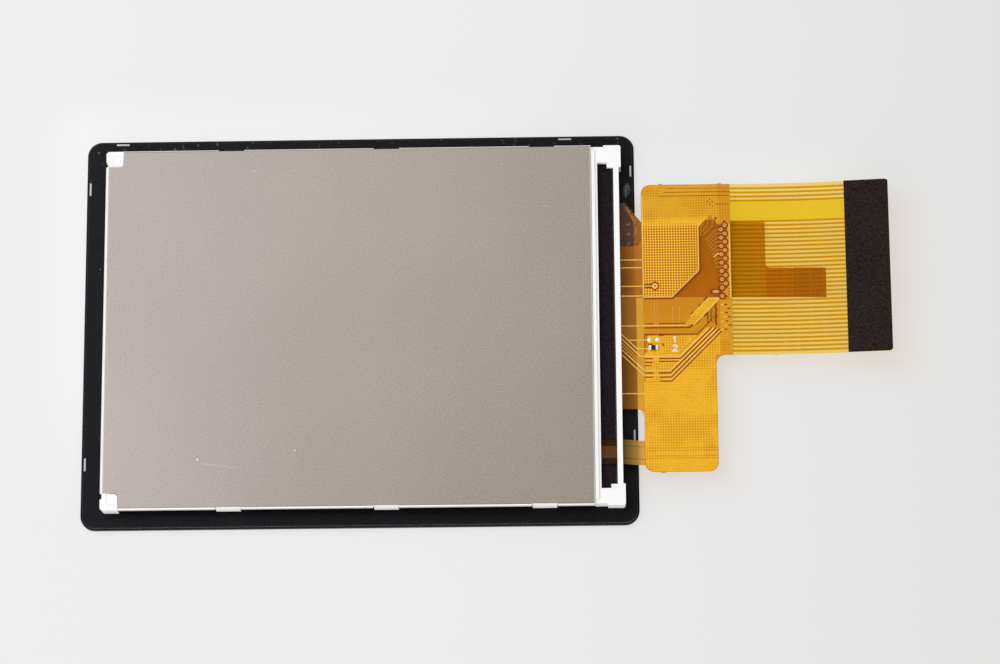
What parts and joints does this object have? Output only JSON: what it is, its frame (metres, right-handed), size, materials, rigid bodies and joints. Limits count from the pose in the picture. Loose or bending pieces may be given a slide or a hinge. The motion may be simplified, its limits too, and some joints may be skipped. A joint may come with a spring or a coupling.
{
  "type": "tft display module",
  "caption": "Flat colour display module with a touch panel cover, white backlight frame, folded metal back plate and an amber flex circuit ending in a stiffened connector tail.",
  "frame": {"origin": "centre of the cover lens's front face, which lies on the table", "axes": "+X along the module towards the connector tail, +Y across the module, +Z from the front glass to the module's back"},
  "size_m": [0.0939, 0.0466, 0.0034],
  "materials": {
    "cover_glass": "polished clear glass with ground edges",
    "border_ink": "black screen print",
    "clear_adhesive": "clear optical adhesive",
    "sensor_film": "touch film over a black border, satin",
    "silver_mark": "printed silver mark",
    "black_tape": "black adhesive tape",
    "polarizer": "grey polarizing film",
    "panel_glass": "thin display glass",
    "silicon": "dark chip package",
    "prism_film": "clear ribbed film",
    "white_film": "white film",
    "guide_acrylic": "clear acrylic",
    "white_moulding": "white moulded plastic, satin",
    "plate_steel": "matte rolled sheet with a fine grain",
    "phosphor": "yellow resin",
    "amber_flex": "translucent amber film, satin gloss",
    "trace_copper": "copper under amber film",
    "gold_contact": "gold plated",
    "black_stiffener": "black fibre board, matte",
    "resistor_ceramic": "black coated ceramic",
    "solder": "bright solder",
    "capacitor_ceramic": "tan ceramic",
    "grey_glue": "cured grey adhesive"
  },
  "bodies": {
    "root": {"cover_lens": "cover_glass", "border_print": "border_ink", "sensor_adhesive": "clear_adhesive", "touch_sensor": "sensor_film", "registration_marks": "silver_mark", "module_tape": "black_tape", "front_polarizer": "polarizer", "colour_filter_glass": "panel_glass", "tft_glass": "panel_glass", "driver_chip": "silicon", "ledge_tape": "black_tape", "rear_polarizer": "polarizer", "light_shield": "black_tape", "upper_prism_film": "prism_film", "lower_prism_film": "prism_film", "diffuser_film": "white_film", "light_guide": "guide_acrylic", "reflector_film": "white_film", "backlight_frame": "white_moulding", "back_plate": "plate_steel", "leds": "white_moulding", "led_phosphors": "phosphor", "led_flex": "amber_flex", "lcd_flex": "amber_flex", "tail_conductors": "trace_copper", "contact_fingers": "gold_contact", "contact_stiffener": "black_stiffener", "chip_resistor": "resistor_ceramic", "resistor_terminals": "solder", "solder_pads": "solder", "touch_flex": "amber_flex", "touch_stiffener": "amber_flex", "touch_contacts": "gold_contact", "touch_controller": "silicon", "touch_capacitors": "capacitor_ceramic", "glue_dab": "grey_glue"}
  },
  "joints": []
}
